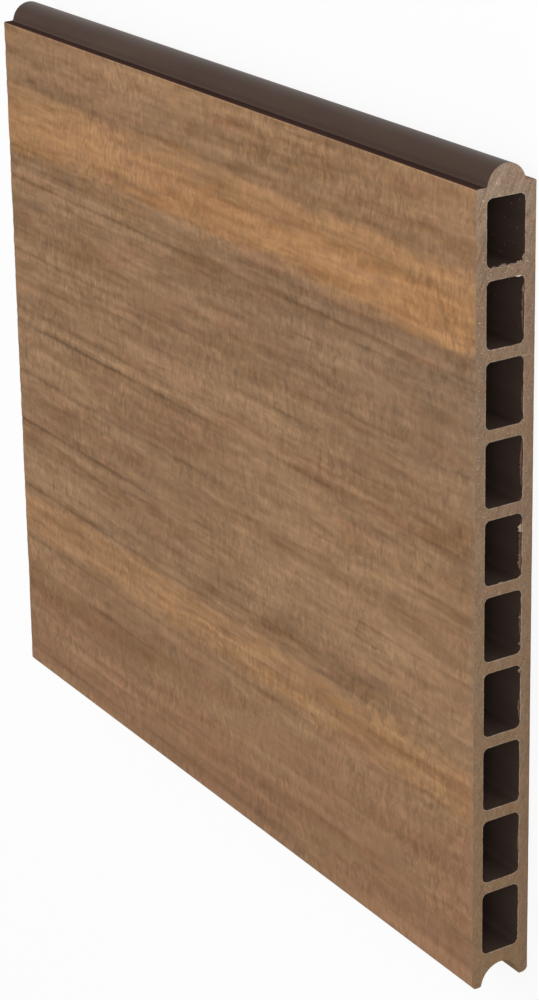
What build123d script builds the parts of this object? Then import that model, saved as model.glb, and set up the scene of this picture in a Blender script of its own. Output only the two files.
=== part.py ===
"""Hollow composite fence board: one extruded piece, cut square at both ends.

The board lies flat on its back face. +X runs along the extrusion, +Y across the board
towards the round tongue, and +Z out of the front face. The origin is at the middle of the
footprint, on the back face. Sizes are in millimetres.
"""

import os

from build123d import *

# The board as a whole
length = 340.0
cover_width = 300.0
thickness = 25.0

# Round tongue along the top edge, and the groove that takes the next board's tongue
tongue_radius = 8.1
tongue_height = 7.4
tongue_root_radius = 0.9
joint_clearance = 0.3

# Long outer edge of each shoulder
shoulder_radius = 0.8

# Chambers that run the full length
chamber_count = 10
skin = 4.5
rib = 4.45
shoulder_wall = 4.0
groove_wall = 5.2
chamber_corner_radius = 2.2

# Levels across the board, from the foot of the lips to the crest of the tongue
foot = -(cover_width + tongue_height) / 2
shoulder = foot + cover_width
crest = shoulder + tongue_height
middle = thickness / 2

# Tongue and groove are arcs about one centre line, a clearance apart
tongue_half = (tongue_radius**2 - (tongue_radius - tongue_height) ** 2) ** 0.5
groove_half = tongue_half + joint_clearance
groove_crown = foot + tongue_height + joint_clearance

# A lip stands each side of the groove, and its outer edge is rounded by half its thickness
lip_wall = middle - groove_half
lip_radius = lip_wall / 2

# The chambers share what the walls and ribs leave
chambers_low = groove_crown + groove_wall
chambers_high = shoulder - shoulder_wall
chamber_pitch = (chambers_high - chambers_low + rib) / chamber_count
chamber_height = chamber_pitch - rib
chamber_depth = thickness - 2 * skin


def edge_corners(sketch, edge):
    """Corners at the foot (0) or at the shoulders (-1), in order from back to front."""
    return sketch.vertices().group_by(Axis.X)[edge].sort_by(Axis.Y)


with BuildPart() as fence_board:
    # Cross-section: local x is across the board, local y is through its thickness
    with BuildSketch(Plane.YZ.offset(-length / 2)) as section:
        with BuildLine():
            Polyline((foot, middle - groove_half), (foot, 0), (shoulder, 0), (shoulder, middle - tongue_half))
            ThreePointArc((shoulder, middle - tongue_half), (crest, middle), (shoulder, middle + tongue_half))
            Polyline(
                (shoulder, middle + tongue_half),
                (shoulder, thickness),
                (foot, thickness),
                (foot, middle + groove_half),
            )
            ThreePointArc((foot, middle + groove_half), (groove_crown, middle), (foot, middle - groove_half))
        make_face()
        # The lips' inner corners take the tongue's root radius, so they clear its fillets
        fillet(edge_corners(section, 0)[::3], lip_radius)
        fillet(edge_corners(section, 0)[1:3], tongue_root_radius)
        fillet(edge_corners(section, -1)[::3], shoulder_radius)
        fillet(edge_corners(section, -1)[1:3], tongue_root_radius)
        with Locations(((chambers_low + chambers_high) / 2, middle)):
            with GridLocations(chamber_pitch, 0, chamber_count, 1):
                RectangleRounded(chamber_height, chamber_depth, chamber_corner_radius, mode=Mode.SUBTRACT)
    extrude(amount=length)

fence_board.part.label = "fence_board"

os.makedirs("parts", exist_ok=True)
export_step(fence_board.part, "parts/fence_board.step")
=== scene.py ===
"""The look of a hollow composite fence board: woodgrain face, satin tongue and raw sawn ends.

One dressed mesh stands for the board's node. Its section is read off the solid's cut end, its faces are
embossed with grain, and its chamber mouths are left ragged by the saw. Sizes are in metres.
"""

import math
import random

import bmesh
import bpy
from mathutils import Euler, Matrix, Vector, geometry, noise


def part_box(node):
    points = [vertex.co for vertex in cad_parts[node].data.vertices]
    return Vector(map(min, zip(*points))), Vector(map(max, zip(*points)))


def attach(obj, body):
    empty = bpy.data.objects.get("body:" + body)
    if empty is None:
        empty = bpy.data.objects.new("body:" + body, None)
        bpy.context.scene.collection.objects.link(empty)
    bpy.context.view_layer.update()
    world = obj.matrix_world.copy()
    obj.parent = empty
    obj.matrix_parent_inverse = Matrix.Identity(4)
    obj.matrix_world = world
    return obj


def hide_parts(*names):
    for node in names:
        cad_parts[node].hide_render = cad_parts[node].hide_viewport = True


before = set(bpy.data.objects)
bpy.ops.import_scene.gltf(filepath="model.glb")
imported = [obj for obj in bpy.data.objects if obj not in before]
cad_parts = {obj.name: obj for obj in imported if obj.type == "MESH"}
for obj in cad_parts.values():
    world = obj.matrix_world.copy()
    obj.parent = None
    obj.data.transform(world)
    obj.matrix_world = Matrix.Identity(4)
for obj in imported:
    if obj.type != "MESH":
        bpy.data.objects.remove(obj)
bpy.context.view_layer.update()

MM = 0.001

# The board, from the solid's box and the tongue's height
LOW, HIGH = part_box("fence_board")
TONGUE_HEIGHT = 7.4 * MM
FOOT = LOW.y
SHOULDER = HIGH.y - TONGUE_HEIGHT
COVER = SHOULDER - FOOT
THICKNESS = HIGH.z
EDGE_ROUND = 1.2 * MM
LEDGE_WIDTH = 3.5 * MM

# Mesh steps round the section, and into how many lengths the board and each chamber are divided
FRONT_STEP = 0.60 * MM
BACK_STEP = 3.0 * MM
CHAMBER_STEP = 1.0 * MM
BOARD_LENGTHS = 106
CHAMBER_LENGTHS = 5
SAME_POINT = 0.001 * MM
SMOOTH_ANGLE = math.radians(35)

# How the cut ends are filled: only triangles inside the borders are wanted
INSIDE_BORDERS = 1
FILL_TOLERANCE = 1e-8

# Embossed grain: how deep it is, how far from an edge it reaches its depth, and the back's share of it
EMBOSS_DEPTH = 0.30 * MM
EMBOSS_FADE = 2.5 * MM
BACK_SHARE = 0.4

# Its valleys as (length, width), and each kind's share of the depth. They wander across the board, and
# differ from one slice of the thickness to the next, so the back isn't the front again.
WANDER = 1.0 * MM
WANDER_SIZE = (18 * MM, 12 * MM)
LONG_VALLEYS = (110 * MM, 4.8 * MM)
BROAD_VALLEYS = (150 * MM, 28 * MM)
FINE_VALLEYS = (18 * MM, 2.4 * MM)
MEAN_SHARE = 0.32
LONG_SHARE = 0.45
BROAD_SHARE = 0.30
FINE_SHARE = 0.60
SLICE = 10 * MM

# Low on the face the fine valleys and the ripple grow calmer
CALM_BELOW = SHOULDER - 0.76 * COVER
CALM_FADE = 25.0 * MM
CALM_LOSS = 0.35

# Long lines in the grain, in groups: where each group starts and ends down the face, as a share of the
# cover, then each line's place and its strength, below 0 for a dark groove and above 0 for a pale ridge.
# In the colour the dark lines are partly the grain's own and partly painted shade in the grooves, and the
# pale lines are painted highlights on the ridges.
LINES = (
    (0.06, 0.26, ((0.085, -0.3), (0.180, -0.4), (0.204, -0.5), (0.2155, 0.5), (0.227, -1.0), (0.243, -0.4))),
    (0.29, 0.48, ((0.306, -0.3), (0.338, -0.5), (0.381, -0.3), (0.427, -0.7), (0.4375, 0.5), (0.448, -1.0))),
    (0.50, 0.72, ((0.527, -0.5), (0.554, -0.4), (0.604, -0.9), (0.615, 0.5), (0.641, -0.4), (0.684, -0.6))),
    (0.69, 0.99, ((0.707, -0.7), (0.790, -0.5), (0.840, -0.4), (0.938, -0.2), (0.972, -0.5))),
)
LINE_REACH = 0.0045

# The same lines as grooves in the mesh: their width, share of the depth and how much of them shows,
# which is less towards the near end
GROOVE_WIDTH = 0.9 * MM
GROOVE_SHARE = 0.45
GROOVE_SHOWS = 0.64
GROOVE_FADE = 0.36

# How a groove strays and where it breaks off: the length of one swing along it, how fast that changes
# from line to line, and its strength. Lines sweep together, and waver and break each in its own way.
SWEEP = (250 * MM, 3, 1.6 * MM)
WAVER = (22 * MM, 40, 0.8 * MM)
BREAKS = (40 * MM, 60, 1.3)

# What the saw left at each chamber's mouth: a worn rim, then rough walls that grow even with depth
RIM_WIDTH = 0.4 * MM
RIM_WEAR = 0.12 * MM
RIM_ROUGH = 0.6
# How pale the worn rim's inner edge is made: partly wear, partly a painted highlight
RIM_WEAR_AND_HIGHLIGHT = 0.45
RAGGED = 0.20 * MM
RAGGED_DEPTHS = ((0.6 * MM, 0.5), (1.8 * MM, 0.2), (5.0 * MM, 0.0))

# The roughness round a mouth: waves, read off a circle of this radius in the noise, jitter from point
# to point, and longer chips where the saw broke out. All that is at the mouth's back, and elsewhere
# only the clean share of it is left.
NOISE_CIRCLE = 9
JITTER = 0.5
CHIP_LENGTH = 3
CHIP_LEVEL = 0.25
CHIP_STRENGTH = 3
BACK_REACH = 1.5 * MM
CLEAN_SHARE = 0.25

# Torn fibres in the mouths on the near end: chamber from the tongue down, wall, place along that wall
# as a share of it, length along the wall, reach into the chamber, and tone, from -1 dark to 1 pale
FLAKES = (
    (0, "back", 0.94, 2.6 * MM, 1.3 * MM, 0.15),
    (0, "floor", 0.20, 2.2 * MM, 0.4 * MM, 0.10),
    (0, "floor", 0.44, 3.6 * MM, 0.9 * MM, 0.05),
    (0, "floor", 0.66, 2.6 * MM, 0.5 * MM, 0.10),
    (0, "floor", 0.88, 3.4 * MM, 1.2 * MM, 0.15),
    (1, "ceiling", 0.86, 3.6 * MM, 0.6 * MM, 1.00),
    (1, "back", 0.50, 18.0 * MM, 1.1 * MM, -0.90),
    (1, "back", 0.22, 3.2 * MM, 0.9 * MM, -0.20),
    (2, "back", 0.66, 9.0 * MM, 0.6 * MM, -0.80),
    (3, "back", 0.45, 17.0 * MM, 1.1 * MM, -0.90),
    (4, "back", 0.48, 18.0 * MM, 1.1 * MM, -1.00),
    (4, "back", 0.24, 3.2 * MM, 2.3 * MM, 0.30),
    (4, "back", 0.74, 8.0 * MM, 2.0 * MM, -0.60),
    (4, "floor", 0.45, 2.4 * MM, 0.3 * MM, 0.20),
    (5, "back", 0.44, 1.4 * MM, 1.0 * MM, -0.20),
    (5, "back", 0.55, 9.0 * MM, 0.7 * MM, -0.80),
    (5, "back", 0.86, 1.6 * MM, 1.0 * MM, -0.20),
    (6, "back", 0.10, 2.0 * MM, 1.1 * MM, 0.10),
    (6, "back", 0.70, 7.5 * MM, 0.9 * MM, -0.70),
    (8, "back", 0.50, 8.0 * MM, 0.4 * MM, -0.60),
)
FLAKE_THICKNESS = 0.2 * MM
FLAKE_STEP = 0.4 * MM
FLAKE_LEAST_STEPS = 4
FLAKE_BLUNTNESS = 0.6
FLAKE_LEAST_REACH = 0.35
DARK_FLAKE_DEPTH = 0.25 * MM

# For each wall of a chamber, the way along it and the way into the chamber, as (y, z)
WALLS = {"back": ((-1, 0), (0, 1)), "floor": ((0, -1), (1, 0)), "ceiling": ((0, -1), (-1, 0))}

SAW_SEED = 11
SAW_SLANT = math.radians(24)

# How far a blotch of the wood pattern reaches through the thickness
GRAIN_REACH = 0.05

# Camera, near the photograph's viewpoint, with the most shift that keeps the board whole from all sides
IMAGE_HEIGHT = 1000
FOCAL_PIXELS = 2733.02
SENSOR = 36.0
CAMERA_PLACE = (0.86946, 0.38445, 0.54738)
CAMERA_TURN = (-18.163, 57.470, -1.732)
CAMERA_SHIFT = -0.24

# Square lamps: name, place, width and power in watts
LAMPS = (
    ("key_light", (-0.5, 0.9, 1.6), 1.2, 16.0),
    ("end_light", (1.75, 0.35, 1.05), 1.3, 9.5),
)

# The surround's strength as a light, half the floor's width, and how much of the floor shows as white
WORLD_LIGHT = 0.55
FLOOR_HALF = 12.0
FLOOR_WHITENESS = 0.90
WHITE = (1, 1, 1, 1)

# The mesh's material slots, in the order in which the materials are added
WOOD, TONGUE, SAWN, INSIDE, LEDGE = range(5)


# Section and mesh

def section_loops(solid):
    """Closed lists of (y, z) off the solid's cut end: its outline, then its chambers from the foot up."""
    bm = bmesh.new()
    bm.from_mesh(solid.data)
    bmesh.ops.remove_doubles(bm, verts=bm.verts, dist=SAME_POINT)
    beside = {}
    for edge in bm.edges:
        on_end = [all(abs(v.co.x - HIGH.x) < SAME_POINT for v in face.verts) for face in edge.link_faces]
        if on_end.count(True) == 1:
            a, b = edge.verts
            beside.setdefault(a, []).append(b)
            beside.setdefault(b, []).append(a)
    loops = []
    while beside:
        here, came_from, loop = next(iter(beside)), None, []
        while here in beside:
            loop.append((here.co.y, here.co.z))
            onward = [v for v in beside.pop(here) if v is not came_from]
            came_from, here = here, onward[0]
        loops.append(loop)
    bm.free()
    return sorted(loops, key=lambda loop: min(y for y, z in loop))


def refined(loop, step_at):
    """The loop with its long straight stretches divided. step_at(y, z) gives the step there."""
    points = []
    for a, b in zip(loop, loop[1:] + loop[:1]):
        start, end = Vector(a), Vector(b)
        middle = (start + end) / 2
        count = max(1, round((end - start).length / step_at(middle.x, middle.y)))
        points += [tuple(start.lerp(end, i / count)) for i in range(count)]
    return points


def outer_step(y, z):
    """Fine steps on the front, where the emboss shows, and coarse ones on the back."""
    return FRONT_STEP if z > THICKNESS / 2 else BACK_STEP


def ring(bm, points, x):
    """A loop of (y, z) as new vertices at x."""
    return [bm.verts.new((x, y, z)) for y, z in points]


def skin(bm, first, second, zone_at):
    """Faces between two rings. zone_at(y, z) gives each one's material."""
    for i in range(len(first)):
        j = (i + 1) % len(first)
        middle = (first[i].co + first[j].co) / 2
        face = bm.faces.new((first[i], first[j], second[j], second[i]))
        face.material_index = zone_at(middle.y, middle.z)


def all_sawn(y, z):
    """Raw composite all round."""
    return SAWN


def all_inside(y, z):
    """The chambers' inner skin all round."""
    return INSIDE


def outer_zone(y, z):
    """Woodgrain on both faces, a satin tongue with a matt ledge in front, darkened as painted shade, and raw
    composite elsewhere.
    """
    beside = min(z, THICKNESS - z)
    if beside < EDGE_ROUND and FOOT + EDGE_ROUND / 2 < y < SHOULDER - EDGE_ROUND / 4:
        return WOOD
    if y < 0:
        return SAWN
    if beside > LEDGE_WIDTH:
        return TONGUE
    return LEDGE if z > THICKNESS / 2 else SAWN


def rolling(x, y, z, size, seed=0.0):
    """Smooth noise whose valleys measure size = (length, width). Another seed gives other valleys."""
    length, width = size
    return noise.noise((x / length, y / width, z / SLICE + seed))


def grain_at(x, y, z):
    """How deep the emboss is at a point, from 0 to 1. Only the face has fine valleys and grooves."""
    wandering = y + WANDER * rolling(x, y, z, WANDER_SIZE)
    grain = MEAN_SHARE + LONG_SHARE * rolling(x, wandering, z, LONG_VALLEYS, seed=9.0)
    grain += BROAD_SHARE * rolling(x, y, z, BROAD_VALLEYS, seed=21.0)
    if z > THICKNESS / 2:
        calm = min(1.0, max(0.0, CALM_BELOW - y) / CALM_FADE)
        grain += (FINE_SHARE - CALM_LOSS * calm) * rolling(x, wandering, z, FINE_VALLEYS)
        grain += grooves_at(x, y)
    return min(1.0, max(0.0, grain))


def stray(x, share, kind, seed):
    """Smooth noise along the line at a share of the cover, of a kind such as SWEEP."""
    length, change, strength = kind
    return strength * noise.noise((x / length, share * change, seed))


def grooves_at(x, y):
    """The long lines' depth at a point, below 0 on a ridge. They come and go along the board."""
    depth = 0.0
    for share, strength in [line for low, high, group in LINES for line in group]:
        path = SHOULDER - share * COVER + stray(x, share, SWEEP, 5.0) + stray(x, share, WAVER, 7.0)
        shows = max(0.0, GROOVE_SHOWS + stray(x, share, BREAKS, 3.0) - GROOVE_FADE * x / HIGH.x)
        depth -= GROOVE_SHARE * strength * shows * math.exp(-(((y - path) / GROOVE_WIDTH) ** 2))
    return depth


def emboss(bm, grain_layer):
    """Sinks the grain's valleys into the face and the back, and keeps their depth for the colour."""
    for v in bm.verts:
        on_front = abs(v.co.z - THICKNESS) < SAME_POINT
        on_back = abs(v.co.z) < SAME_POINT
        if not (on_front or on_back):
            continue
        grain = grain_at(*v.co)
        v[grain_layer] = grain
        edge = min(v.co.y - FOOT, SHOULDER - v.co.y)
        depth = EMBOSS_DEPTH * grain * min(1.0, max(0.0, edge - EDGE_ROUND) / EMBOSS_FADE)
        v.co.z += -depth if on_front else BACK_SHARE * depth


def outward(points, i):
    """The direction out of a loop that runs round its own middle, at point i."""
    before, after = Vector(points[i - 1]), Vector(points[(i + 1) % len(points)])
    along = (after - before).normalized()
    normal = Vector((along.y, -along.x))
    middle = sum((Vector(p) for p in points), Vector((0, 0))) / len(points)
    return normal if normal.dot(Vector(points[i]) - middle) > 0 else -normal


def moved_out(points, distance_at):
    """The loop's points, each moved out by distance_at(its number)."""
    return [tuple(Vector(p) + outward(points, i) * distance_at(i)) for i, p in enumerate(points)]


def ragged_profile(points, rng):
    """A rough distance for each point of a mouth: fine roughness and a few places broken at its back."""
    phase = rng.uniform(0, 100)
    rough = []
    for i in range(len(points)):
        angle = 2 * math.pi * i / len(points)
        at = (math.cos(angle) * NOISE_CIRCLE + phase, math.sin(angle) * NOISE_CIRCLE, phase)
        chip = noise.noise((at[0] / CHIP_LENGTH, at[1] / CHIP_LENGTH, at[2] + 5))
        broken = max(0.0, chip - CHIP_LEVEL) * CHIP_STRENGTH
        rough.append(RAGGED * (noise.noise(at) + JITTER * rng.uniform(-1, 1) + broken))
    back = min(z for y, z in points) + BACK_REACH
    return [r if z < back else CLEAN_SHARE * r for r, (y, z) in zip(rough, points)]


def ragged_mouth(bm, points, end_x, inward, tone_layer, rng):
    """A chamber's mouth at one cut end. Returns its rim, and the ring where the rough walls end."""
    rough = ragged_profile(points, rng)
    rim = ring(bm, moved_out(points, lambda i: RIM_WIDTH + RIM_ROUGH * rough[i]), end_x)
    last = ring(bm, moved_out(points, lambda i: rough[i]), end_x + inward * RIM_WEAR)
    skin(bm, rim, last, all_sawn)
    # Paler inner edge of the rim: partly wear, partly a painted highlight
    for v in last:
        v[tone_layer] = rng.uniform(0, RIM_WEAR_AND_HIGHLIGHT)
    for depth, share in RAGGED_DEPTHS:
        deeper = ring(bm, moved_out(points, lambda i: share * rough[i]), end_x + inward * depth)
        skin(bm, last, deeper, all_inside)
        last = deeper
    return rim, last


def chamber(bm, loop, tone_layer, rng):
    """One chamber's walls from end to end. Returns its rim on the near end and on the far end."""
    points = refined(loop, lambda y, z: CHAMBER_STEP)
    near_rim, near = ragged_mouth(bm, points, HIGH.x, -1, tone_layer, rng)
    far_rim, far = ragged_mouth(bm, points, LOW.x, 1, tone_layer, rng)
    near_x, far_x = near[0].co.x, far[0].co.x
    for k in range(1, CHAMBER_LENGTHS):
        onward = ring(bm, points, near_x + (far_x - near_x) * k / CHAMBER_LENGTHS)
        skin(bm, near, onward, all_inside)
        near = onward
    skin(bm, near, far, all_inside)
    return near_rim, far_rim


def encloses(loop, y, z):
    """Whether a point of the cut end lies inside a closed loop of vertices."""
    inside = False
    for a, b in zip(loop, loop[1:] + loop[:1]):
        if (a.co.z > z) != (b.co.z > z):
            crossing = a.co.y + (z - a.co.z) / (b.co.z - a.co.z) * (b.co.y - a.co.y)
            inside ^= y < crossing
    return inside


def close_end(bm, outline, rims):
    """Closes a cut end between its outline and the rims of its chambers."""
    corners, borders = [], []
    for loop in [outline] + rims:
        first = len(corners)
        corners += loop
        borders += [(first + i, first + (i + 1) % len(loop)) for i in range(len(loop))]
    flat = [Vector((v.co.y, v.co.z)) for v in corners]
    filled = geometry.delaunay_2d_cdt(flat, borders, [], INSIDE_BORDERS, FILL_TOLERANCE)
    triangles, sources = filled[2], filled[3]
    for triangle in triangles:
        face_corners = [corners[sources[i][0]] for i in triangle]
        middle = sum((v.co for v in face_corners), Vector()) / 3
        if not any(encloses(rim, middle.y, middle.z) for rim in rims):
            bm.faces.new(face_corners).material_index = SAWN


def wall_start(loop, along, inward):
    """The corner of a chamber that a wall starts from, and the wall's length."""
    low = Vector((min(y for y, z in loop), min(z for y, z in loop)))
    high = Vector((max(y for y, z in loop), max(z for y, z in loop)))
    corner = Vector((low.x if inward.x > 0 else high.x, low.y if inward.y > 0 else high.y))
    return corner, abs((high - low).dot(along))


def flake(bm, loop, wall, share, length, reach, depth, rng):
    """A torn shard on a chamber's wall, depth behind the cut end. Returns its vertices."""
    along, inward = (Vector(way) for way in WALLS[wall])
    corner, span = wall_start(loop, along, inward)
    steps = max(FLAKE_LEAST_STEPS, round(length / FLAKE_STEP))
    base, tip = [], []
    for k in range(steps + 1):
        t = k / steps
        foot = corner + along * (share * span + (t - 0.5) * length)
        swell = math.sin(math.pi * t) ** FLAKE_BLUNTNESS
        base.append(tuple(foot - inward * FLAKE_THICKNESS))
        tip.append(tuple(foot + inward * reach * swell * rng.uniform(FLAKE_LEAST_REACH, 1.0)))
    outline = base + tip[::-1]
    outer = ring(bm, outline, HIGH.x - depth)
    inner = ring(bm, outline, HIGH.x - depth - FLAKE_THICKNESS)
    skin(bm, outer, inner, all_sawn)
    for side in (outer, inner):
        for k in range(steps):
            quad = (side[k], side[k + 1], side[-2 - k], side[-1 - k])
            bm.faces.new(quad).material_index = SAWN
    return outer + inner


def add_flakes(bm, chambers, tone_layer, rng):
    """The torn fibres. A dark one lies deeper behind the cut end than a pale one."""
    for number, wall, share, length, reach, tone in FLAKES:
        depth = RIM_WEAR + (1 - tone) * DARK_FLAKE_DEPTH
        for v in flake(bm, chambers[number], wall, share, length, reach, depth, rng):
            v[tone_layer] = tone


def as_object(bm, name):
    """The finished mesh as an object in the scene, smooth but for its sharp edges."""
    mesh = bpy.data.meshes.new(name)
    bm.to_mesh(mesh)
    bm.free()
    mesh.shade_smooth()
    mesh.set_sharp_from_angle(angle=SMOOTH_ANGLE)
    made = bpy.data.objects.new(name, mesh)
    bpy.context.scene.collection.objects.link(made)
    return made


def dressed_board():
    """The whole board as one object, with its grain, its chambers and their torn fibres."""
    outline, *chambers = section_loops(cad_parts["fence_board"])
    chambers.reverse()
    rng = random.Random(SAW_SEED)
    bm = bmesh.new()
    bm.verts.layers.float.new("grain")
    bm.verts.layers.float.new("tone")
    # Both layers are looked up once both exist, because adding one moves the other
    grain_layer = bm.verts.layers.float["grain"]
    tone_layer = bm.verts.layers.float["tone"]

    points = refined(outline, outer_step)
    places = [HIGH.x + (LOW.x - HIGH.x) * k / BOARD_LENGTHS for k in range(BOARD_LENGTHS + 1)]
    rings = [ring(bm, points, x) for x in places]
    for first, second in zip(rings, rings[1:]):
        skin(bm, first, second, outer_zone)
    rims = [chamber(bm, loop, tone_layer, rng) for loop in chambers]
    emboss(bm, grain_layer)
    close_end(bm, rings[0], [near for near, far in rims])
    close_end(bm, rings[-1], [far for near, far in rims])
    bmesh.ops.recalc_face_normals(bm, faces=bm.faces)
    add_flakes(bm, chambers, tone_layer, rng)
    return as_object(bm, "dressed_board")


# Nodes for the materials

def linear(red, green, blue):
    """A colour given as 0 to 255, as a renderer takes it."""
    parts = [c / 255 for c in (red, green, blue)]
    return [c / 12.92 if c <= 0.04045 else ((c + 0.055) / 1.055) ** 2.4 for c in parts] + [1.0]


def node(tree, kind, inputs=(), **settings):
    """Adds a node, sets its options, and sets or joins its inputs."""
    made = tree.nodes.new("ShaderNode" + kind)
    for key, value in settings.items():
        setattr(made, key, value)
    for key, value in dict(inputs).items():
        if isinstance(value, bpy.types.NodeSocket):
            tree.links.new(value, made.inputs[key])
        else:
            made.inputs[key].default_value = value
    return made


def maths(tree, operation, a, b):
    """Two numbers added, multiplied or joined by another such operation."""
    return node(tree, "Math", {0: a, 1: b}, operation=operation).outputs[0]


def place(tree):
    """Where a point of the surface is on the object, in metres."""
    return node(tree, "TexCoord").outputs["Object"]


def split_up(tree, vector):
    """A vector's x, y and z, or a colour's red, green and blue."""
    return node(tree, "SeparateXYZ", {0: vector}).outputs


def noise_node(tree, where, size, detail, distortion, seed):
    """Noise whose blotches measure size = (x, y, z)."""
    scaled = node(tree, "VectorMath", {0: where, 1: [1 / s for s in size]}, operation="MULTIPLY")
    inputs = {"Vector": scaled.outputs[0], "W": seed, "Scale": 1.0, "Detail": detail}
    inputs["Distortion"] = distortion
    return node(tree, "TexNoise", inputs, noise_dimensions="4D")


def blotches(tree, where, size, detail, distortion=0.0, seed=0.0):
    """Noise from 0 to 1 whose blotches measure size = (x, y, z)."""
    return noise_node(tree, where, size, detail, distortion, seed).outputs[0]


def wood_noise(tree, where, length, width, detail, distortion=0.0, seed=0.0):
    """Blotches of the wood pattern, of a length along the board and a width across it."""
    return blotches(tree, where, (length, width, GRAIN_REACH), detail, distortion, seed)


def wavered(tree, where, length, width, push, seed):
    """The place, pushed about by up to half of push, so that what is drawn on it wavers."""
    shift = noise_node(tree, where, (length, width, GRAIN_REACH), 2.0, 0.0, seed).outputs["Color"]
    centred = node(tree, "VectorMath", {0: shift, 1: (0.5, 0.5, 0.5)}, operation="SUBTRACT")
    moved = node(tree, "VectorMath", {0: centred.outputs[0], 1: push, 2: where}, operation="MULTIPLY_ADD")
    return moved.outputs[0]


def remap(tree, value, low, high, to_low=0.0, to_high=1.0):
    """Value taken from low..high to to_low..to_high, and held inside it."""
    inputs = {"Value": value, "From Min": low, "From Max": high, "To Min": to_low, "To Max": to_high}
    return node(tree, "MapRange", inputs).outputs[0]


def mixed(tree, factor, a, b, mode="MIX"):
    """Colour a where the factor is 0, and colour b, or a blended with b by mode, where it is 1."""
    return node(tree, "Mix", {0: factor, 6: a, 7: b}, data_type="RGBA", blend_type=mode).outputs[2]


def shaded(tree, colour, factor):
    """Colour made darker or lighter by a number near 1."""
    return node(tree, "VectorMath", {0: colour, "Scale": factor}, operation="SCALE").outputs[0]


def swung(tree, colour, pattern, amount):
    """Colour made darker and lighter, by up to amount, as a pattern goes from 0.3 to 0.7."""
    swing = maths(tree, "MULTIPLY", remap(tree, pattern, 0.30, 0.70, -1.0, 1.0), amount)
    return shaded(tree, colour, maths(tree, "ADD", swing, 1.0))


def levels(tree, value, stops):
    """A number that follows stops of (place, level)."""
    ramp = node(tree, "ValToRGB", {0: value})
    ramp.color_ramp.interpolation = "EASE"
    elements = ramp.color_ramp.elements
    while len(elements) < len(stops):
        elements.new(0.5)
    for element, (at, level) in zip(elements, stops):
        element.position = at
        element.color = (level, level, level, 1)
    return ramp.outputs[0]


def specks(tree, where, density, kept, radius, channel):
    """Scattered dots: density cells a metre, the share of them that show, and a dot's radius in cells."""
    cells = node(tree, "TexVoronoi", {"Vector": where, "Scale": density, "Randomness": 1.0})
    picked = split_up(tree, cells.outputs["Color"])[channel]
    size = remap(tree, picked, 1 - kept, 1.0, 0.3 * radius, radius)
    near = maths(tree, "LESS_THAN", cells.outputs["Distance"], size)
    return maths(tree, "MULTIPLY", near, remap(tree, picked, 1 - kept, 1 - 0.8 * kept))


def new_material(name):
    """A material with its node tree and its shader."""
    material = bpy.data.materials.new(name)
    material.use_nodes = True
    return material, material.node_tree, material.node_tree.nodes["Principled BSDF"]


def bump(tree, shader, height, distance, strength):
    """Fine relief that stands distance metres high where the height is 1, at full strength."""
    made = node(tree, "Bump", {"Height": height, "Distance": distance, "Strength": strength})
    tree.links.new(made.outputs[0], shader.inputs["Normal"])


# Woodgrain

# Down runs from 0 at the shoulder to 1 at the foot, and along from 0 at the far end to 1 at the near
# one. Flat is the place itself, and where is the place wavered.

def warm_bands(tree, where, down, along):
    """How much of the warm band colour shows: a strong band near the tongue and a faint one lower."""
    sway = remap(tree, wood_noise(tree, where, 0.20, 0.050, 2, seed=1), 0, 1, -0.010, 0.010)
    feather = remap(tree, wood_noise(tree, where, 0.030, 0.0040, 4, 0.4, seed=2), 0, 1, -0.022, 0.022)
    wavering = maths(tree, "ADD", maths(tree, "ADD", down, sway), feather)
    dropped = maths(tree, "SUBTRACT", wavering, remap(tree, along, 0.40, 1.0, 0.0, 0.014))
    upper = levels(tree, dropped, (
        (0.000, 0.20), (0.040, 0.12), (0.074, 0.08), (0.104, 0.70),
        (0.140, 0.98), (0.172, 0.88), (0.194, 0.00),
    ))
    lower = levels(tree, wavering, (
        (0.705, 0.0), (0.728, 0.48), (0.762, 0.48), (0.795, 0.06), (0.940, 0.06), (1.000, 0.12),
    ))
    upper = maths(tree, "MULTIPLY", upper, remap(tree, along, 0, 1, 0.78, 1.0))
    return maths(tree, "ADD", upper, lower)


def wood_ground(tree, where, down, along):
    """Mid brown in broad drifts, with a dusky stretch, warm bands and rosy patches."""
    drift = wood_noise(tree, where, 0.12, 0.020, 3, seed=3)
    colour = mixed(tree, remap(tree, drift, 0.36, 0.64), linear(150, 117, 86), linear(138, 106, 77))
    dusk = levels(tree, down, ((0.170, 0.0), (0.230, 1.0), (0.320, 0.7), (0.420, 0.0)))
    dusk = maths(tree, "MULTIPLY", dusk, remap(tree, along, 0.35, 1.0, 0.0, 0.45))
    colour = mixed(tree, dusk, colour, linear(126, 103, 83))
    colour = mixed(tree, warm_bands(tree, where, down, along), colour, linear(173, 128, 85))
    rosy = wood_noise(tree, where, 0.050, 0.006, 3, seed=13)
    rosy = maths(tree, "ADD", rosy, remap(tree, down, 0.74, 0.92, 0.0, 0.18))
    return mixed(tree, remap(tree, rosy, 0.52, 0.74, 0.0, 0.60), colour, linear(147, 106, 79))


def streaked(tree, colour, where, down):
    """Adds long soft streaks, and short dark ones that gather in places and fade low on the face."""
    streak = wood_noise(tree, where, 0.100, 0.0036, 1, 0.3, seed=4)
    colour = shaded(tree, colour, remap(tree, streak, 0.28, 0.72, 0.89, 1.10))
    thin = wood_noise(tree, where, 0.017, 0.0017, 0, 0.3, seed=5)
    gathered = remap(tree, wood_noise(tree, where, 0.070, 0.011, 2, seed=14), 0.42, 0.62, 0.06, 0.34)
    gathered = maths(tree, "MULTIPLY", gathered, remap(tree, down, 0.74, 0.84, 1.0, 0.4))
    dark = maths(tree, "MULTIPLY", remap(tree, thin, 0.54, 0.80), gathered)
    return mixed(tree, dark, colour, linear(98, 67, 46))


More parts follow.
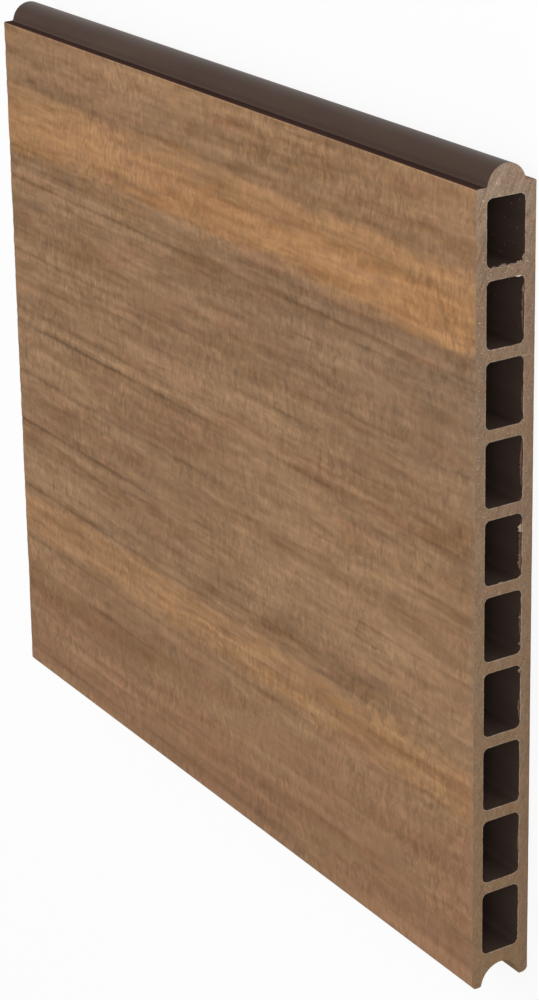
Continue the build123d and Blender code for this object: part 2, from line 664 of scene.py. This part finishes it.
def drawn_lines(tree, down):
    """The long lines' tone, from -0.5 in the darkest groove to 0.5 on a pale ridge: partly grain, partly
    painted shade and highlight.
    """
    total = 0.0
    for low, high, group in LINES:
        stops = []
        for share, strength in group:
            for off, level in ((-LINE_REACH, 0.5), (0.0, 0.5 + strength / 2), (LINE_REACH, 0.5)):
                stops.append(((share + off - low) / (high - low), level))
        tone = maths(tree, "SUBTRACT", levels(tree, remap(tree, down, low, high), stops), 0.5)
        total = maths(tree, "ADD", total, tone)
    return total


def broken_lines(tree, flat, crinkled, along):
    """The long lines where they show, which is in patches and most of all towards the far end."""
    shows = remap(tree, wood_noise(tree, flat, 0.030, 0.010, 2, seed=22), 0.38, 0.62, 0.12, 0.50)
    shows = maths(tree, "MULTIPLY", shows, remap(tree, along, 0.10, 0.75, 1.6, 0.6))
    return maths(tree, "MULTIPLY", drawn_lines(tree, crinkled), shows)


def mottled(tree, colour, flat, across, ripple, figure):
    """Adds a ripple along the grain and a short figure across it, each strong where the other is weak."""
    vigour = remap(tree, wood_noise(tree, flat, 0.035, 0.014, 2, seed=23), 0.35, 0.65)
    calm = remap(tree, across, CALM_BELOW, CALM_BELOW - CALM_FADE, 1.0, 0.5)
    rippling = maths(tree, "MULTIPLY", remap(tree, vigour, 0.0, 1.0, 0.105, 0.05), calm)
    colour = swung(tree, colour, ripple, rippling)
    return swung(tree, colour, figure, remap(tree, vigour, 0.0, 1.0, 0.08, 0.23))


def tinted(tree, colour, where, down):
    """Adds long waves near the foot, and small yellowish patches."""
    wave = wood_noise(tree, where, 0.140, 0.0070, 1, seed=24)
    colour = swung(tree, colour, wave, remap(tree, down, 0.84, 0.93, 0.0, 0.09))
    tint = wood_noise(tree, where, 0.0060, 0.0040, 3, 1.0, seed=17)
    return mixed(tree, remap(tree, tint, 0.54, 0.72, 0.0, 0.22), colour, linear(152, 119, 80))


def shaded_valleys(tree, colour, valley):
    """Painted light and shade that follow the emboss: paler on its crests, and darker and browner in its
    valleys.
    """
    colour = shaded(tree, colour, remap(tree, valley, 0.0, 1.0, 1.08, 0.80))
    return mixed(tree, remap(tree, valley, 0.3, 1.0), colour, (1.0, 0.93, 0.85, 1.0), "MULTIPLY")


def shaded_ends(tree, colour, x, down, along):
    """Slightly darker towards the foot and the far end, and greyer just beside the near cut."""
    colour = shaded(tree, colour, remap(tree, down, 0.80, 1.0, 1.0, 0.95))
    colour = shaded(tree, colour, remap(tree, along, 0.0, 1.0, 0.972, 1.015))
    faded = remap(tree, x, HIGH.x - 5 * MM, HIGH.x, 0.0, 0.22)
    return mixed(tree, faded, colour, linear(146, 122, 101))


def woodgrain():
    """Mid-brown wood pattern: warm bands, broken wavering streaks and a short soft figure."""
    material, tree, shader = new_material("woodgrain_face")
    flat = place(tree)
    where = wavered(tree, flat, 0.014, 0.010, (0.006, 0.0016, 0.0), seed=20)
    where = wavered(tree, where, 0.0030, 0.0060, (0.0, 0.0020, 0.0), seed=21)
    x, across = split_up(tree, flat)[:2]
    down = remap(tree, across, SHOULDER, FOOT)
    along = remap(tree, x, LOW.x, HIGH.x)
    crinkled = remap(tree, split_up(tree, where)[1], SHOULDER, FOOT)
    ripple = wood_noise(tree, where, 0.0110, 0.0021, 0, 0.6, seed=16)
    figure = wood_noise(tree, where, 0.0023, 0.0048, 1, 1.0, seed=6)
    lines = broken_lines(tree, flat, crinkled, along)
    valley = node(tree, "Attribute", attribute_name="grain").outputs["Fac"]

    colour = streaked(tree, wood_ground(tree, where, down, along), where, down)
    # The long lines: partly the grain's own, partly painted shade in the grooves and painted highlights on
    # the ridges
    colour = shaded(tree, colour, maths(tree, "ADD", lines, 1.0))
    colour = mottled(tree, colour, flat, across, ripple, figure)
    # Painted shade in the emboss's valleys and painted light on its crests
    colour = shaded_valleys(tree, tinted(tree, colour, where, down), valley)
    colour = shaded_ends(tree, colour, x, down, along)
    tree.links.new(colour, shader.inputs["Base Color"])
    tree.links.new(remap(tree, valley, 0.0, 1.0, 0.60, 0.78), shader.inputs["Roughness"])
    shader.inputs["Specular IOR Level"].default_value = 0.14
    bump(tree, shader, maths(tree, "ADD", maths(tree, "ADD", ripple, figure), lines), 0.12 * MM, 0.5)
    return material


# The other materials

def satin_tongue():
    """Smooth dark-brown plastic, with the fine lines that the die draws along the board."""
    material, tree, shader = new_material("dark_cap")
    where = place(tree)
    lines = blotches(tree, where, (0.9, 0.0011, 0.0011), 3, seed=7)
    cloud = blotches(tree, where, (0.060, 0.012, 0.012), 3, seed=8)
    colour = mixed(tree, remap(tree, cloud, 0.3, 0.7), linear(77, 60, 51), linear(70, 54, 46))
    colour = swung(tree, colour, lines, 0.06)
    tree.links.new(colour, shader.inputs["Base Color"])
    tree.links.new(remap(tree, cloud, 0.3, 0.7, 0.34, 0.42), shader.inputs["Roughness"])
    shader.inputs["Specular IOR Level"].default_value = 0.07
    bump(tree, shader, lines, 0.03 * MM, 0.5)
    return material


def ledge_painted_shade():
    """The ledge in front of the tongue: the tongue's dark brown, matt and a little redder, and darker as
    painted shade in the crevice at the tongue's foot.
    """
    material, tree, shader = new_material("ledge_painted_shade")
    cloud = blotches(tree, place(tree), (0.050, 0.004, 0.004), 3, seed=18)
    # Painted shade: browns darker than the tongue's, for the crevice at its foot
    colour = mixed(tree, remap(tree, cloud, 0.3, 0.7), linear(66, 48, 43), linear(57, 41, 37))
    tree.links.new(colour, shader.inputs["Base Color"])
    shader.inputs["Roughness"].default_value = 0.9
    shader.inputs["Specular IOR Level"].default_value = 0.0
    bump(tree, shader, cloud, 0.05 * MM, 0.4)
    return material


def composite_ground(tree, where, down, z, fibre):
    """Raw composite: fibres in a greyish brown that is palest at the tongue, with warm and ashen clouds, and
    painted light near the back.
    """
    colour = mixed(tree, down, linear(148, 124, 103), linear(140, 112, 84))
    colour = mixed(tree, remap(tree, down, 0.0, 0.10, 1.0, 0.0), colour, linear(163, 141, 121))
    colour = shaded(tree, colour, remap(tree, fibre, 0.3, 0.7, 0.83, 1.14))
    warm = blotches(tree, where, (0.010, 0.008, 0.005), 3, seed=10)
    colour = mixed(tree, remap(tree, warm, 0.42, 0.68, 0.0, 0.55), colour, linear(146, 113, 86))
    ashen = blotches(tree, where, (0.010, 0.012, 0.004), 3, seed=15)
    colour = mixed(tree, remap(tree, ashen, 0.50, 0.75, 0.0, 0.50), colour, linear(128, 112, 92))
    cloud = blotches(tree, where, (0.010, 0.0060, 0.0028), 2, 0.5, seed=25)
    colour = swung(tree, colour, cloud, 0.07)
    colour = shaded(tree, colour, remap(tree, down, 0.0, 1.0, 1.015, 0.975))
    # Painted light: paler towards the back, fully within 3 mm and fading out at 10 mm, against the shade
    # that the floor casts there; less so and a little bluer towards the foot.
    painted_light_near_back = remap(tree, z, 10 * MM, 3 * MM, 0.0, 1.0)
    painted_light_tint = mixed(tree, down, (1.09, 1.09, 1.10, 1.0), (1.03, 1.05, 1.09, 1.0))
    return mixed(tree, painted_light_near_back, colour, painted_light_tint, "MULTIPLY")


def speckled(tree, colour, where, down):
    """Adds pale and dark grains of filler, which get fainter towards the foot."""
    fainter = remap(tree, down, 0.0, 0.9, 1.0, 0.25)
    for density, kept, radius, channel, speck in (
        (1500.0, 0.20, 0.36, 0, (184, 161, 137)),
        (900.0, 0.05, 0.28, 2, (210, 194, 172)),
        (1200.0, 0.14, 0.34, 1, (108, 88, 69)),
    ):
        seen = maths(tree, "MULTIPLY", specks(tree, where, density, kept, radius, channel), fainter)
        colour = mixed(tree, seen, colour, linear(*speck))
    return colour


def sawn_end():
    """Raw composite: fibre blotches, grains of filler and the saw's slanting strokes."""
    material, tree, shader = new_material("sawn_composite")
    where = place(tree)
    across, z = split_up(tree, where)[1:3]
    down = remap(tree, across, SHOULDER, FOOT)
    fibre = blotches(tree, where, (0.0024, 0.0013, 0.0010), 5, 0.8, seed=9)
    turned = node(tree, "VectorRotate", {"Vector": where, "Angle": SAW_SLANT}, rotation_type="X_AXIS")
    stroke = blotches(tree, turned.outputs[0], (0.01, 0.0090, 0.0009), 3, 0.3, seed=11)
    grit = blotches(tree, where, (0.0006, 0.0006, 0.0006), 2, seed=19)
    tone = node(tree, "Attribute", attribute_name="tone").outputs["Fac"]

    colour = composite_ground(tree, where, down, z, fibre)
    colour = swung(tree, colour, stroke, remap(tree, down, 0.0, 0.25, 0.26, 0.11))
    colour = swung(tree, colour, grit, 0.10)
    colour = speckled(tree, colour, where, down)
    colour = mixed(tree, remap(tree, tone, 0.0, 1.0), colour, linear(232, 220, 202))
    colour = mixed(tree, remap(tree, tone, 0.0, -1.0), colour, linear(108, 82, 68))
    tree.links.new(colour, shader.inputs["Base Color"])
    shader.inputs["Roughness"].default_value = 0.85
    shader.inputs["Specular IOR Level"].default_value = 0.1
    bump(tree, shader, maths(tree, "ADD", fibre, stroke), 0.12 * MM, 0.7)
    return material


def chamber_wall():
    """The dark inner skin, with some sawdust, most of it in the chambers near the tongue."""
    material, tree, shader = new_material("chamber_wall")
    where = place(tree)
    cloud = blotches(tree, where, (0.030, 0.006, 0.006), 3, seed=12)
    colour = mixed(tree, remap(tree, cloud, 0.3, 0.7), linear(77, 63, 55), linear(85, 69, 60))
    dusty = remap(tree, split_up(tree, where)[1], SHOULDER - 0.25 * COVER, SHOULDER, 0.10, 1.0)
    dust = maths(tree, "MULTIPLY", specks(tree, where, 900.0, 0.22, 0.24, 1), dusty)
    colour = mixed(tree, dust, colour, linear(176, 146, 120))
    tree.links.new(colour, shader.inputs["Base Color"])
    shader.inputs["Roughness"].default_value = 0.7
    shader.inputs["Specular IOR Level"].default_value = 0.1
    bump(tree, shader, cloud, 0.1 * MM, 0.4)
    return material


# Stage

def pale_floor():
    """A wide pale floor that the camera and reflections see nearly white, with the shadow kept."""
    mesh = bpy.data.meshes.new("floor")
    half = FLOOR_HALF
    corners = [(-half, -half, 0), (half, -half, 0), (half, half, 0), (-half, half, 0)]
    mesh.from_pydata(corners, [], [(0, 1, 2, 3)])
    floor = bpy.data.objects.new("floor", mesh)
    bpy.context.scene.collection.objects.link(floor)
    material, tree, shader = new_material("pale_floor")
    shader.inputs["Base Color"].default_value = (0.86, 0.86, 0.86, 1)
    shader.inputs["Roughness"].default_value = 0.9
    shader.inputs["Specular IOR Level"].default_value = 0.0
    rays = node(tree, "LightPath").outputs
    seen = maths(tree, "MAXIMUM", rays["Is Camera Ray"], rays["Is Glossy Ray"])
    seen = maths(tree, "MAXIMUM", seen, rays["Is Transmission Ray"])
    white = node(tree, "Emission", {"Color": WHITE, "Strength": 1.0})
    part = maths(tree, "MULTIPLY", seen, FLOOR_WHITENESS)
    both = node(tree, "MixShader", {0: part, 1: shader.outputs[0], 2: white.outputs[0]})
    tree.links.new(both.outputs[0], tree.nodes["Material Output"].inputs["Surface"])
    mesh.materials.append(material)


def studio_world():
    """An even white surround, which lights the board less than it shows."""
    world = bpy.data.worlds.new("studio")
    bpy.context.scene.world = world
    world.use_nodes = True
    tree = world.node_tree
    rays = node(tree, "LightPath").outputs
    strength = remap(tree, rays["Is Camera Ray"], 0, 1, WORLD_LIGHT, 1.0)
    tree.links.new(strength, tree.nodes["Background"].inputs["Strength"])
    tree.nodes["Background"].inputs["Color"].default_value = WHITE


def softbox(name, where, width, power):
    """A square lamp aimed at the board."""
    lamp = bpy.data.lights.new(name, "AREA")
    lamp.shape = "SQUARE"
    lamp.size = width
    lamp.energy = power
    made = bpy.data.objects.new(name, lamp)
    made.location = where
    made.rotation_euler = (-Vector(where)).to_track_quat("-Z", "Y").to_euler()
    bpy.context.scene.collection.objects.link(made)


def photograph_camera():
    """The camera, whose lens is shifted down so that the board's upright edges stay almost parallel."""
    lens = bpy.data.cameras.new("camera")
    lens.sensor_width = SENSOR
    lens.lens = FOCAL_PIXELS * SENSOR / IMAGE_HEIGHT
    lens.shift_y = CAMERA_SHIFT
    camera = bpy.data.objects.new("camera", lens)
    camera.location = CAMERA_PLACE
    camera.rotation_euler = Euler([math.radians(a) for a in CAMERA_TURN])
    bpy.context.scene.collection.objects.link(camera)
    bpy.context.scene.camera = camera


board = dressed_board()
for material in (woodgrain(), satin_tongue(), sawn_end(), chamber_wall(), ledge_painted_shade()):
    board.data.materials.append(material)
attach(board, "root")
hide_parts("fence_board")

pale_floor()
studio_world()
for name, where, width, power in LAMPS:
    softbox(name, where, width, power)
photograph_camera()
bpy.context.scene.view_settings.view_transform = "Standard"
